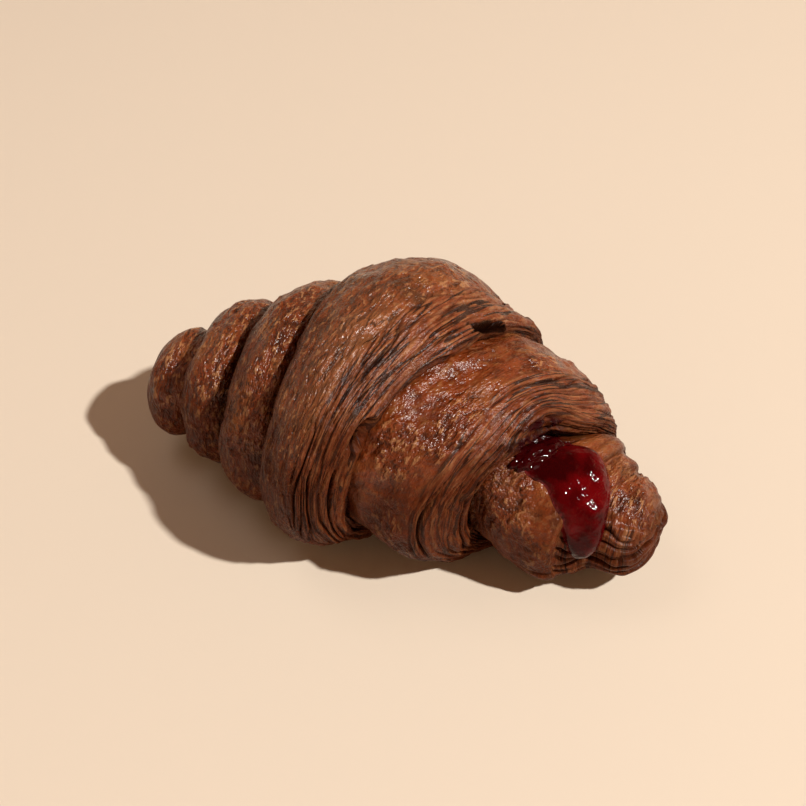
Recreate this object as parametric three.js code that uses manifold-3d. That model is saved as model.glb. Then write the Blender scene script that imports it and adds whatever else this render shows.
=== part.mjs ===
// A croissant with a jam filling: one rolled triangle of laminated dough, baked as one piece, and the jam
// that fills the tear near one of its tips and has run over the end of the roll.
//
// Millimetres. +X points to the tip with the jam, +Z is up, and the jam has run down the -Y side. The
// croissant stands on z = 0.
//
// The crust is one skin. At each angle round the roll, from the +Y side over the top, a profile runs from
// tip to tip through every wrap of dough and every valley between two wraps. A point of the profile holds x
// and the half width and half height of the roll there, and the angle turns it into a point of the skin.

import * as THREE from "three";
import Module from "manifold-3d";

const { lerp, smoothstep } = THREE.MathUtils;

// Length from tip to tip, and where the two tips are: off to the side along y, and above the table.
const LENGTH = 150;
const START_TIP = { side: 0, centre: 20 };
const END_TIP = { side: 4, centre: 16 };

// The wraps from the plain tip to the jam tip. crest is where a wrap is fattest, as a share of the way
// from the valley before it to the valley after it. side and centre place the middle of the roll there
// along y and z.
const WRAPS = [
  { crest: 0.5, halfWidth: 15, halfHeight: 16, side: 0, centre: 20.5 },
  { crest: 0.5, halfWidth: 25, halfHeight: 21.5, side: 3, centre: 25 },
  { crest: 0.52, halfWidth: 34.5, halfHeight: 28, side: 3.5, centre: 29 },
  { crest: 0.5, halfWidth: 45.5, halfHeight: 35, side: 4, centre: 34.5 },
  { crest: 0.48, halfWidth: 36.5, halfHeight: 28.5, side: 4, centre: 27.5 },
  { crest: 0.5, halfWidth: 21.5, halfHeight: 18.5, side: 2, centre: 19 },
  { crest: 0.36, halfWidth: 14.6, halfHeight: 12.8, side: 3.6, centre: 17 },
];

// The valleys between neighbouring wraps. leanBack moves a valley along x on the +Y side of the roll and
// the other way on the -Y side, and leanTop does so on top and underneath. lap is 1 where the later wrap
// lies over the earlier one, and -1 where the earlier lies over the later. tuck is how far the lower dough
// goes in under the upper, and lip is how far the upper one stands out over the lower. edge scales how high
// the upper one's edge is, and near and far are how high the lower one has come where it shows.
const VALLEYS = [
  {
    x: -58.5, leanBack: -3, leanTop: 0, halfWidth: 14.2, halfHeight: 15.2,
    lap: 1, tuck: 0.9, lip: 0.4, edge: 0.88, near: 0.2, far: 0.55,
  },
  {
    x: -40.5, leanBack: -1.5, leanTop: 0, halfWidth: 22.5, halfHeight: 19,
    lap: 1, tuck: 3, lip: 1.2, edge: 0.88, near: 0.2, far: 0.55,
  },
  {
    x: -21.5, leanBack: -2, leanTop: 0.5, halfWidth: 31, halfHeight: 26,
    lap: 1, tuck: 5, lip: 2, edge: 0.9, near: 0.2, far: 0.55,
  },
  {
    x: 13.5, leanBack: 13, leanTop: 3, halfWidth: 33.5, halfHeight: 28.5,
    lap: -1, tuck: 2.5, lip: 0.4, edge: 0.62, near: 0.45, far: 0.8,
  },
  {
    x: 42, leanBack: 12, leanTop: 3, halfWidth: 19.5, halfHeight: 18,
    lap: -1, tuck: 3, lip: 0.6, edge: 0.6, near: 0.5, far: 0.85,
  },
  {
    x: 57, leanBack: 3, leanTop: 1, halfWidth: 19.6, halfHeight: 16.2,
    lap: -1, tuck: 0.3, lip: 0.1, edge: 0.8, near: 0.2, far: 0.5,
  },
];

// Where a valley gapes: the tear at the jam, the open seam low on the front, and the dark gaps between the
// narrow wraps. open adds to the valley's tuck, rise lifts the dough over it, sink lowers the dough in it,
// and pull draws the whole seam back along x. arch is 1 where the dough over it stands up free of it.
const GAPES = [
  { valley: 4, angle: 1.6, spread: 0.7, open: 3.5, rise: 3, sink: 3.5, pull: 2.5, arch: 1 },
  { valley: 3, angle: 2.95, spread: 0.65, open: 2, rise: 0.3, sink: 2.5, pull: 0, arch: 0 },
  { valley: 2, angle: 2.2, spread: 1, open: 2.8, rise: 0, sink: 4.5, pull: 0, arch: 0 },
  { valley: 1, angle: 2.1, spread: 0.9, open: 2.2, rise: 0, sink: 3.2, pull: 0, arch: 0 },
];
const NO_GAPE = { angle: 0, spread: 1, open: 0, rise: 0, sink: 0, pull: 0, arch: 0 };

// The jam that has run from the tear over the end of the roll, row by row downwards: its two edges on the
// crust and how high it stands over the straight line between them.
const JAM_RUN = [
  { left: [34.5, -8, 36], right: [46.5, 8, 34], height: 1.5 },
  { left: [37.5, -8.8, 35.9], right: [51, 7.5, 35.2], height: 2.2 },
  { left: [41.5, -9.4, 35.2], right: [56.5, 7, 34.3], height: 3.8 },
  { left: [47, -10, 33.5], right: [60.5, 4, 30.5], height: 5 },
  { left: [50.5, -12.5, 30], right: [62.5, 0, 28.5], height: 5 },
  { left: [53.5, -13.5, 25], right: [63.5, -5, 25], height: 5 },
  { left: [55.5, -13, 20], right: [63.5, -9, 20], height: 4.8 },
  { left: [58, -12, 16], right: [61.5, -11, 16], height: 3 },
];
const JAM_SINK = 2; // how deep the jam reaches into the crust before the crust is cut out of it
const JAM_GAP = 0.4; // clearance between the jam and the crust

// How fine the grids are: angles round the roll, the longest step along it, and the jam's two directions.
const ANGLES = 44;
const LONGEST_STEP = 5.5;
const JAM_ROWS = 16;
const JAM_COLUMNS = 10;

// The lower half of each section is squarer than an ellipse, and this power says by how much.
const UNDERSIDE_POWER = 0.8;

// Laps fade out on the underside, between these shares of the way down.
const LAP_FADE_START = 0.35;
const LAP_FADE_END = 0.85;

// Stations from the bottom of a lap up over its lip. tuck and lip are shares of the valley's own, out is a
// plain distance from the valley, and up is the share of the way from the valley to the crest.
const LAP_PROFILE = [
  { tuck: 0.55, lip: 0, out: 0, up: 0.1 },
  { tuck: 0, lip: 0.2, out: 0, up: 0.34 },
  { tuck: 0, lip: 1, out: 0, up: 0.6 },
  { tuck: 0, lip: 0.35, out: 0.6, up: 0.8 },
];
const UNDERSIDE_SPREAD = 1.5; // keeps the stations of a faded lap apart along x

// How far from the valley the lower wrap's near and far heights are, and where a tip rounds off.
const EMERGE_OUT = [0.6, 4];
const TIP_PROFILE = [
  { out: 0, up: 0 },
  { out: 0.25, up: 0.42 },
  { out: 2.2, up: 0.74 },
  { out: 5.5, up: 0.94 },
];

// The crown of a full wrap. along is a share of the wrap's length from its crest, and drop is the share of
// the way down from its crest to its valleys.
const CROWN_PROFILE = [
  { along: -0.22, drop: 0.055 },
  { along: 0, drop: 0 },
  { along: 0.22, drop: 0.11 },
];

// How much of a gape an angle has: 1 at its middle, 0 beyond its corners.
function gapeShare(gape, angle) {
  const away = Math.min(Math.abs(angle - gape.angle) / gape.spread, 1);
  return Math.cos((away * Math.PI) / 2) ** 2;
}

// A valley as it is at an angle. fade is 0 on top and 1 underneath, where no dough laps over another.
function valleyAt(index, angle) {
  const valley = VALLEYS[index];
  const fade = smoothstep(-Math.sin(angle), LAP_FADE_START, LAP_FADE_END);
  const gape = GAPES.find((one) => one.valley === index) ?? NO_GAPE;
  const share = gapeShare(gape, angle);
  const arch = gape.arch * share;
  const lean = valley.leanBack * Math.cos(angle) + valley.leanTop * Math.sin(angle);
  return {
    x: valley.x + lean - gape.pull * share,
    halfWidth: valley.halfWidth - gape.sink * share,
    halfHeight: valley.halfHeight - gape.sink * share,
    lap: valley.lap,
    tuck: (valley.tuck + gape.open * share) * (1 - fade),
    lip: valley.lip * (1 - fade),
    rise: gape.rise * share,
    edge: lerp(valley.edge, 1, arch),
    shown: [valley.near * (1 - 0.7 * arch), valley.far * (1 - 0.3 * arch)],
    fade,
  };
}

// One wrap's stations between its two valleys. A station is (x, half width, half height).
function wrapStations(wrap, before, after) {
  const station = (valley, offset, up, rise = 0) => new THREE.Vector3(
    valley.x + offset,
    lerp(valley.halfWidth, wrap.halfWidth, up) + rise,
    lerp(valley.halfHeight, wrap.halfHeight, up) + rise,
  );
  const edge = (valley, inward) => {
    if (valley.tip) {
      return TIP_PROFILE.map(({ out, up }) => station(valley, inward * out, up));
    }
    if (valley.lap !== inward) {
      return EMERGE_OUT.map((out, index) => station(valley, inward * out, valley.shown[index]));
    }
    return LAP_PROFILE.map(({ tuck, lip, out, up }) => {
      const spread = UNDERSIDE_SPREAD * up * valley.fade;
      const offset = tuck * valley.tuck - lip * valley.lip + out + spread;
      const height = up * valley.edge;
      return station(valley, inward * offset, height, valley.rise * height);
    });
  };
  const length = after.x - before.x;
  const floorWidth = (before.halfWidth + after.halfWidth) / 2;
  const floorHeight = (before.halfHeight + after.halfHeight) / 2;
  const crown = before.tip || after.tip ? CROWN_PROFILE.slice(1, 2) : CROWN_PROFILE;
  return [
    ...edge(before, 1),
    ...crown.map(({ along, drop }) => new THREE.Vector3(
      before.x + (wrap.crest + along) * length,
      lerp(wrap.halfWidth, floorWidth, drop),
      lerp(wrap.halfHeight, floorHeight, drop),
    )),
    ...edge(after, -1).reverse(),
  ];
}

// The whole profile at an angle, as a smooth curve through its stations.
function profileAt(angle) {
  const tips = [-LENGTH / 2, LENGTH / 2].map((x) => ({ x, halfWidth: 0, halfHeight: 0, tip: true }));
  const valleys = VALLEYS.map((_, index) => valleyAt(index, angle));
  const ends = [tips[0], ...valleys, tips[1]];
  const stations = [];
  WRAPS.forEach((wrap, index) => {
    stations.push(...wrapStations(wrap, ends[index], ends[index + 1]));
    const valley = valleys[index];
    if (valley) {
      stations.push(new THREE.Vector3(
        valley.x + valley.lap * valley.tuck,
        valley.halfWidth,
        valley.halfHeight,
      ));
    }
  });
  return new THREE.CatmullRomCurve3(stations, false, "centripetal");
}

// The middle of the roll, which passes smoothly through the tips and the crests of the wraps.
const AXIS = [
  { x: -LENGTH / 2, ...START_TIP },
  ...WRAPS.map(({ crest, side, centre }, index) => {
    const before = VALLEYS[index - 1]?.x ?? -LENGTH / 2;
    const after = VALLEYS[index]?.x ?? LENGTH / 2;
    return { x: lerp(before, after, crest), side, centre };
  }),
  { x: LENGTH / 2, ...END_TIP },
];

function axisAt(x, key) {
  let value = AXIS[0][key];
  for (let index = 1; index < AXIS.length; index += 1) {
    const [start, end] = [AXIS[index - 1], AXIS[index]];
    value += (end[key] - start[key]) * smoothstep(x, start.x, end.x);
  }
  return value;
}

// A profile point turned to its angle. The roll has settled on the table, so nothing is below z = 0.
function skinPoint(station, angle) {
  const across = Math.cos(angle);
  const up = Math.sin(angle);
  const power = up < 0 ? UNDERSIDE_POWER : 1;
  const y = station.y * Math.sign(across) * Math.abs(across) ** power;
  const z = station.z * Math.sign(up) * Math.abs(up) ** power;
  return new THREE.Vector3(
    station.x,
    axisAt(station.x, "side") + y,
    Math.max(0, axisAt(station.x, "centre") + z),
  );
}

// A closed body from rings of points, with a point at each end. The rings run clockwise as seen from the
// end they start from, and then the faces point outwards.
function ringBody(startPoint, rings, endPoint) {
  const count = rings[0].length;
  const points = [startPoint, ...rings.flat(), endPoint];
  const last = points.length - 1;
  const at = (ring, step) => 1 + ring * count + (step % count);
  const faces = [];
  for (let step = 0; step < count; step += 1) {
    faces.push(0, at(0, step + 1), at(0, step));
    faces.push(last, at(rings.length - 1, step), at(rings.length - 1, step + 1));
  }
  for (let ring = 0; ring + 1 < rings.length; ring += 1) {
    for (let step = 0; step < count; step += 1) {
      const [a, b] = [at(ring, step), at(ring, step + 1)];
      const [c, d] = [at(ring + 1, step + 1), at(ring + 1, step)];
      faces.push(a, b, c, a, c, d);
    }
  }
  const geometry = new THREE.BufferGeometry();
  geometry.setAttribute("position", new THREE.Float32BufferAttribute(points.flatMap((p) => [...p]), 3));
  geometry.setIndex(faces);
  return geometry;
}

// How many equal steps each stretch between two stations is cut into, the same at every angle.
function stepsBetweenStations() {
  const { points } = profileAt(Math.PI / 2);
  return points.slice(1).map((station, index) => {
    const length = station.distanceTo(points[index]);
    return Math.max(1, Math.round(length / LONGEST_STEP));
  });
}

// The whole crust as one closed body. The first and last stations are the tips, where all profiles meet.
function croissantGeometry() {
  const steps = stepsBetweenStations();
  const places = steps.flatMap((count, index) => (
    Array.from({ length: count }, (_, step) => (index + step / count) / steps.length)
  ));
  const angles = Array.from({ length: ANGLES }, (_, step) => (2 * Math.PI * step) / ANGLES);
  const profiles = angles.map(profileAt);
  const rings = places.slice(1).map((place) => (
    profiles.map((curve, index) => skinPoint(curve.getPoint(place), angles[index]))
  ));
  const tip = (place) => skinPoint(profiles[0].getPoint(place), 0);
  return ringBody(tip(0), rings, tip(1));
}

// A smooth curve through one value of every row of the jam's run.
function jamCurve(value) {
  return new THREE.CatmullRomCurve3(JAM_RUN.map((row) => new THREE.Vector3(...value(row))));
}

// The run of jam before the crust is cut out of it: a lens in every row, sunk into the crust below it.
function jamBlank() {
  const leftEdge = jamCurve(({ left }) => left);
  const rightEdge = jamCurve(({ right }) => right);
  const heights = jamCurve(({ height }) => [height, 0, 0]);
  const columns = Array.from({ length: JAM_COLUMNS + 1 }, (_, step) => step / JAM_COLUMNS);
  const rings = Array.from({ length: JAM_ROWS + 1 }, (_, row) => {
    const share = row / JAM_ROWS;
    const [left, right] = [leftEdge.getPoint(share), rightEdge.getPoint(share)];
    const flow = leftEdge.getTangent(share).add(rightEdge.getTangent(share));
    const outward = flow.cross(right.clone().sub(left)).normalize();
    const height = heights.getPoint(share).x;
    const lens = (across, distance) => left.clone().lerp(right, across).addScaledVector(outward, distance);
    const outer = columns.map((across) => lens(across, height * Math.sqrt(Math.sin(Math.PI * across))));
    const inner = columns.map((across) => lens(across, -JAM_SINK));
    return [...inner, ...outer.reverse()];
  });
  const middle = (ring) => (
    ring.reduce((sum, point) => sum.add(point), new THREE.Vector3()).divideScalar(ring.length)
  );
  return ringBody(middle(rings[0]), rings, middle(rings[rings.length - 1]));
}

// Booleans: a geometry as a solid, and the largest piece of a solid as a geometry again.
const wasm = await Module();
wasm.setup();

function toSolid(geometry) {
  return new wasm.Manifold(new wasm.Mesh({
    numProp: 3,
    vertProperties: geometry.attributes.position.array,
    triVerts: new Uint32Array(geometry.index.array),
  }));
}

function largestPiece(solid) {
  const pieces = solid.decompose().sort((a, b) => b.volume() - a.volume());
  const mesh = pieces[0].getMesh();
  const geometry = new THREE.BufferGeometry();
  geometry.setAttribute("position", new THREE.BufferAttribute(new Float32Array(mesh.vertProperties), 3));
  geometry.setIndex([...mesh.triVerts]);
  return geometry;
}

// The jam with the crust cut out of it. Cutting the crust out again a little to each side, to the front and
// back and up and down leaves the clearance between the two.
function jamGeometry(crust) {
  const shifts = [-JAM_GAP, JAM_GAP].flatMap((gap) => [[gap, 0, 0], [0, gap, 0], [0, 0, gap]]);
  const cutters = [crust, ...shifts.map((shift) => crust.clone().translate(...shift))];
  const solid = cutters.reduce((rest, cutter) => rest.subtract(toSolid(cutter)), toSolid(jamBlank()));
  return largestPiece(solid);
}

// The finish of each piece.
const CRUST = new THREE.MeshStandardMaterial({ color: 0x6b3a22, roughness: 0.55, metalness: 0 });
const JAM = new THREE.MeshStandardMaterial({ color: 0x6e0608, roughness: 0.12, metalness: 0 });

function piece(name, geometry, material) {
  geometry.computeVertexNormals();
  const mesh = new THREE.Mesh(geometry, material);
  mesh.name = name;
  return mesh;
}

// The group is moved so that its origin is under the middle of the croissant's length and width.
const crust = croissantGeometry();
const croissant = new THREE.Group();
croissant.add(piece("croissant", crust, CRUST));
croissant.add(piece("jam_filling", jamGeometry(crust), JAM));
const middle = new THREE.Box3().setFromObject(croissant).getCenter(new THREE.Vector3());
croissant.position.set(-middle.x, -middle.y, 0);

export default croissant;
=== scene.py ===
import math
from types import SimpleNamespace

import bpy
import numpy as np
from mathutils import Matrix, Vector


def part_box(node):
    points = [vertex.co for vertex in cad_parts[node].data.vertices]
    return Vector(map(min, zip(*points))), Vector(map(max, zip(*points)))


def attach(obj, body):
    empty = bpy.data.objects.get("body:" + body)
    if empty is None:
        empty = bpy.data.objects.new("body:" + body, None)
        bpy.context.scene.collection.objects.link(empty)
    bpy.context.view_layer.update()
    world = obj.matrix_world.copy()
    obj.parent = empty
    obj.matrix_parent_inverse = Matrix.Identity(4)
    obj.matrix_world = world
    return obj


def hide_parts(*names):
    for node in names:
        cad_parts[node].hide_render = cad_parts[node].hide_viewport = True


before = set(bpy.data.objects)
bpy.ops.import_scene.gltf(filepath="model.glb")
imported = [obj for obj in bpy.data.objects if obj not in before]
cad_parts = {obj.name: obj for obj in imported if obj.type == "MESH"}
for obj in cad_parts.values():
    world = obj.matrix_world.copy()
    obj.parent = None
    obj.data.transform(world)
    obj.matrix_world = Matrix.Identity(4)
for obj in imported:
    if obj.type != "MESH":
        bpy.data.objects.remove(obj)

# A croissant with a jam filling: the baked crust with its laps, layers and splits, and the jam that fills
# the tear near one tip and has run over the end of the roll. Shapes are worked out in millimetres, in the
# roll's own frame, and moved onto the plain model when they become meshes.

bl_info = {
    "name": "Croissant with a jam filling",
    "version": (1, 0, 0),
    "blender": (4, 5, 0),
    "location": "View3D > Sidebar > Croissant",
    "description": "Builds a dark laminated croissant with jam running from a tear, and its stage",
    "category": "Object",
}

MM = 0.001
BODY = "root"
TURN = 2.0 * math.pi

# Length from tip to tip, and where the two tips are: off to the side along y, and above the table.
LENGTH = 150.0
START_TIP = {"side": 0.0, "centre": 20.0}
END_TIP = {"side": 4.0, "centre": 16.0}

# The wraps from the plain tip to the jam tip. crest is where a wrap is fattest, as a share of the way from
# the valley before it to the valley after it. side and centre place the middle of the roll there.
WRAPS = (
    {"crest": 0.50, "half_width": 15.0, "half_height": 16.0, "side": 0.0, "centre": 20.5},
    {"crest": 0.50, "half_width": 25.0, "half_height": 21.5, "side": 3.0, "centre": 25.0},
    {"crest": 0.52, "half_width": 34.5, "half_height": 28.0, "side": 3.5, "centre": 29.0},
    {"crest": 0.50, "half_width": 45.5, "half_height": 35.0, "side": 4.0, "centre": 34.5},
    {"crest": 0.48, "half_width": 36.5, "half_height": 28.5, "side": 4.0, "centre": 27.5},
    {"crest": 0.50, "half_width": 21.5, "half_height": 18.5, "side": 2.0, "centre": 19.0},
    {"crest": 0.36, "half_width": 14.6, "half_height": 12.8, "side": 3.6, "centre": 17.0},
)

# The valleys between neighbouring wraps. lean_back moves a valley along x on the +Y side and the other way
# on the -Y side, and lean_top does so on top and underneath. lap is 1 where the later wrap lies over the
# earlier one, and -1 where the earlier lies over the later. tuck is how far the lower dough goes in under
# the upper, and lip is how far the upper one stands out over the lower. edge scales how high the upper
# one's edge is, and near and far are how high the lower one has come where it shows.
VALLEYS = (
    {"x": -58.5, "lean_back": -3.0, "lean_top": 0.0, "half_width": 14.2, "half_height": 15.2,
     "lap": 1, "tuck": 0.9, "lip": 0.4, "edge": 0.88, "near": 0.2, "far": 0.55},
    {"x": -40.5, "lean_back": -1.5, "lean_top": 0.0, "half_width": 22.5, "half_height": 19.0,
     "lap": 1, "tuck": 3.0, "lip": 1.2, "edge": 0.88, "near": 0.2, "far": 0.55},
    {"x": -21.5, "lean_back": -2.0, "lean_top": 0.5, "half_width": 31.0, "half_height": 26.0,
     "lap": 1, "tuck": 5.0, "lip": 2.0, "edge": 0.9, "near": 0.2, "far": 0.55},
    {"x": 13.5, "lean_back": 13.0, "lean_top": 3.0, "half_width": 33.5, "half_height": 28.5,
     "lap": -1, "tuck": 2.5, "lip": 0.4, "edge": 0.62, "near": 0.45, "far": 0.8},
    {"x": 42.0, "lean_back": 12.0, "lean_top": 3.0, "half_width": 19.5, "half_height": 18.0,
     "lap": -1, "tuck": 3.0, "lip": 0.6, "edge": 0.6, "near": 0.5, "far": 0.85},
    {"x": 57.0, "lean_back": 3.0, "lean_top": 1.0, "half_width": 19.6, "half_height": 16.2,
     "lap": -1, "tuck": 0.3, "lip": 0.1, "edge": 0.8, "near": 0.2, "far": 0.5},
)

# Where a valley gapes: the tear at the jam, the open seam low on the front, and the dark gaps between the
# narrow wraps. open adds to the valley's tuck, rise lifts the dough over it, sink lowers the dough in it,
# and pull draws the whole seam back along x. arch is 1 where the dough over it stands up free of it.
GAPES = (
    {"valley": 4, "angle": 1.60, "spread": 0.70, "open": 3.5,
     "rise": 3.0, "sink": 3.5, "pull": 2.5, "arch": 1.0},
    {"valley": 3, "angle": 2.95, "spread": 0.65, "open": 2.0,
     "rise": 0.3, "sink": 2.5, "pull": 0.0, "arch": 0.0},
    {"valley": 2, "angle": 2.20, "spread": 1.00, "open": 2.8,
     "rise": 0.0, "sink": 4.5, "pull": 0.0, "arch": 0.0},
    {"valley": 1, "angle": 2.10, "spread": 0.90, "open": 2.2,
     "rise": 0.0, "sink": 3.2, "pull": 0.0, "arch": 0.0},
)

# Stations from the bottom of a lap up over its lip. tuck and lip are shares of the valley's own, out is a
# plain distance from the valley, and up is the share of the way from the valley to the crest.
LAP_PROFILE = ((0.55, 0.0, 0.0, 0.10), (0.0, 0.2, 0.0, 0.34), (0.0, 1.0, 0.0, 0.60), (0.0, 0.35, 0.6, 0.80))
# How far from the valley the lower wrap's near and far heights are, and where a tip rounds off: out and up.
EMERGE_OUT = (0.6, 4.0)
TIP_PROFILE = ((0.0, 0.0), (0.25, 0.42), (2.2, 0.74), (5.5, 0.94))
# The crown of a full wrap: a share of the wrap's length from its crest, and the drop towards its valleys.
CROWN_PROFILE = ((-0.22, 0.055), (0.0, 0.0), (0.22, 0.11))
LAP_FADE = (0.35, 0.85)
UNDERSIDE_SPREAD = 1.5
UNDERSIDE_POWER = 0.8

# Places counted in stations along the profile: the ends of the layered bands of the widest wrap and the
# next, the lips of the narrow wraps, and the bottoms of the first five seams, with how wide and how dark
# the painted shade in each one is.
WIDE_LIP = 37.3
NEXT_LIP = 47.3
NARROW_LIPS = (10.0, 20.0, 30.0)
SHADED_SEAMS = ((7.2, 1.2, 0.95), (17.0, 1.9, 0.95), (27.0, 2.0, 0.95), (39.0, 0.9, 0.76), (49.0, 0.9, 0.76))

# The jam that has run from the tear over the end of the roll, row by row downwards: its two edges on the
# crust and how high it stands over the straight line between them.
JAM_RUN = (
    ((34.5, -8.0, 36.0), (46.5, 8.0, 34.0), 1.5),
    ((37.5, -8.8, 35.9), (51.0, 7.5, 35.2), 2.2),
    ((41.5, -9.4, 35.2), (56.5, 7.0, 34.3), 3.8),
    ((47.0, -10.0, 33.5), (60.5, 4.0, 30.5), 5.0),
    ((50.5, -12.5, 30.0), (62.5, 0.0, 28.5), 5.0),
    ((53.5, -13.5, 25.0), (63.5, -5.0, 25.0), 5.0),
    ((55.5, -13.0, 20.0), (63.5, -9.0, 20.0), 4.8),
    ((58.0, -12.0, 16.0), (61.5, -11.0, 16.0), 3.0),
)
# The jam that stayed in the tear: its half sizes, its middle, and the degrees it is turned by, from above.
CLOT = {"radii": (3.9, 8.4, 3.4), "middle": (42.6, -2.8, 37.0), "turned": -32.0}

# Sizes of the patterns in the crust, and of the clouds and bubbles in the jam, in millimetres.
PATCH = 13.0
MOTTLE = 3.4
FLAKE = 1.25
EDGE = 0.9
HAIRLINE = 2.4
CRAZE = 2.6
CLOUD = 7.0
BUBBLE = 1.7


def linear(hex_colour, alpha=1.0):
    """A colour such as 6B3520, which is sRGB, as linear red, green, blue and alpha."""
    parts = [int(hex_colour[start:start + 2], 16) / 255.0 for start in (0, 2, 4)]
    return tuple(c / 12.92 if c <= 0.04045 else ((c + 0.055) / 1.055) ** 2.4 for c in parts) + (alpha,)


def smooth(value, start, end):
    """0 up to start, 1 from end on, and an S-curve in between: 3t^2 - 2t^3 of the share t of the way."""
    share = np.clip((value - start) / (end - start), 0.0, 1.0)
    return share * share * (3.0 - 2.0 * share)


def bell(value, middle, width):
    """1 at the middle and falling off to both sides: e to the minus square of the distance over the width."""
    return np.exp(-(((value - middle) / width) ** 2))


# ---------------------------------------------------------------- noise


def lattice_value(i, j, k, seed):
    """A fixed value from -1 to 1 for each lattice point: its whole numbers, times odd constants, mixed."""
    mask = np.uint64(0xFFFFFFFF)
    whole = [(np.asarray(n).astype(np.int64) & 0xFFFFFFFF).astype(np.uint64) for n in (i, j, k)]
    mixed = whole[0] * np.uint64(73856093) ^ whole[1] * np.uint64(19349663) ^ whole[2] * np.uint64(83492791)
    mixed = (mixed ^ np.uint64(seed * 668265263 + 374761393)) & mask
    for shift, factor in ((15, 2246822519), (13, 3266489917)):
        mixed = (mixed ^ (mixed >> np.uint64(shift))) * np.uint64(factor) & mask
    return ((mixed ^ (mixed >> np.uint64(16))) & np.uint64(0xFFFF)).astype(float) / 32767.5 - 1.0


def noise(x, y, z, seed, octaves=1):
    """Smooth noise from about -1 to 1: lattice values blended by 6t^5 - 15t^4 + 10t^3 along each axis.
    Each further octave is twice as fine and half as strong."""
    x, y, z = np.broadcast_arrays(x, y, z)
    total = np.zeros(x.shape)
    for octave in range(octaves):
        scale = 2.03 ** octave
        where = [axis * scale + 17.3 * octave for axis in (x, y, z)]
        base = [np.floor(axis) for axis in where]
        part = [axis - low for axis, low in zip(where, base)]
        blend = [t * t * t * (t * (6.0 * t - 15.0) + 10.0) for t in part]
        for corner in range(8):
            step = [(corner >> bit) & 1 for bit in range(3)]
            weight = 1.0
            for t, s in zip(blend, step):
                weight = weight * (t if s else 1.0 - t)
            value = lattice_value(*(low + s for low, s in zip(base, step)), seed + octave)
            total += 0.5 ** octave * weight * value
    return total


# ---------------------------------------------------------------- the roll


def valley_at(index, angle):
    """A valley at an array of angles. fade is 0 on top and 1 underneath, where no dough laps over another.
    A gape's share is the squared cosine of the distance from its middle angle."""
    valley = VALLEYS[index]
    fade = smooth(-np.sin(angle), *LAP_FADE)
    opened, rise, sink, pull, arch = (0.0 * angle for _ in range(5))
    for gape in GAPES:
        if gape["valley"] == index:
            away = np.minimum(np.abs(angle - gape["angle"]) / gape["spread"], 1.0)
            share = np.cos(away * math.pi / 2.0) ** 2
            opened, rise, sink = gape["open"] * share, gape["rise"] * share, gape["sink"] * share
            pull, arch = gape["pull"] * share, gape["arch"] * share
    return {
        "x": valley["x"] + valley["lean_back"] * np.cos(angle) + valley["lean_top"] * np.sin(angle) - pull,
        "half_width": valley["half_width"] - sink,
        "half_height": valley["half_height"] - sink,
        "lap": valley["lap"],
        "tuck": (valley["tuck"] + opened) * (1.0 - fade),
        "lip": valley["lip"] * (1.0 - fade),
        "rise": rise,
        "fade": fade,
        "edge": valley["edge"] + (1.0 - valley["edge"]) * arch,
        "shown": (valley["near"] * (1.0 - 0.7 * arch), valley["far"] * (1.0 - 0.3 * arch)),
    }


def wrap_stations(wrap, before, after, angle):
    """One wrap's stations between its two valleys, each as x, half width and half height by angle."""

    def station(valley, offset, up, rise=0.0):
        # x is the valley's plus an offset. up is the share of the way from the valley's size to the wrap's.
        return np.stack(np.broadcast_arrays(
            valley["x"] + offset + 0.0 * angle,
            valley["half_width"] + (wrap["half_width"] - valley["half_width"]) * up + rise,
            valley["half_height"] + (wrap["half_height"] - valley["half_height"]) * up + rise,
        ))

    def edge(valley, inward):
        # from a round tip, from under the neighbour's lap, or up over this wrap's own lap and lip
        if "tip" in valley:
            return [station(valley, inward * out, up) for out, up in TIP_PROFILE]
        if valley["lap"] != inward:
            return [station(valley, inward * out, up) for out, up in zip(EMERGE_OUT, valley["shown"])]
        stations = []
        for tuck, lip, out, up in LAP_PROFILE:
            offset = tuck * valley["tuck"] - lip * valley["lip"] + out
            offset = offset + UNDERSIDE_SPREAD * up * valley["fade"]
            up = up * valley["edge"]
            stations.append(station(valley, inward * offset, up, valley["rise"] * up))
        return stations

    length = after["x"] - before["x"]
    floor_width = (before["half_width"] + after["half_width"]) / 2.0
    floor_height = (before["half_height"] + after["half_height"]) / 2.0
    crown = CROWN_PROFILE[1:2] if "tip" in before or "tip" in after else CROWN_PROFILE
    middle = [
        np.stack(np.broadcast_arrays(
            before["x"] + (wrap["crest"] + along) * length + 0.0 * angle,
            wrap["half_width"] + (floor_width - wrap["half_width"]) * drop,
            wrap["half_height"] + (floor_height - wrap["half_height"]) * drop,
        ))
        for along, drop in crown
    ]
    return edge(before, 1) + middle + edge(after, -1)[::-1]


def stations_at(angle):
    """All stations of the profile at each angle, as an array of stations by three values by angles."""
    tips = [
        {"x": side * LENGTH / 2.0, "half_width": 0.0, "half_height": 0.0, "tip": True} for side in (-1, 1)]
    valleys = [valley_at(index, angle) for index in range(len(VALLEYS))]
    ends = [tips[0], *valleys, tips[1]]
    stations = []
    for index, wrap in enumerate(WRAPS):
        stations += wrap_stations(wrap, ends[index], ends[index + 1], angle)
        if index < len(valleys):
            valley = valleys[index]
            stations.append(np.stack(np.broadcast_arrays(
                valley["x"] + valley["lap"] * valley["tuck"], valley["half_width"], valley["half_height"],
            )))
    return np.array(stations)


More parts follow.
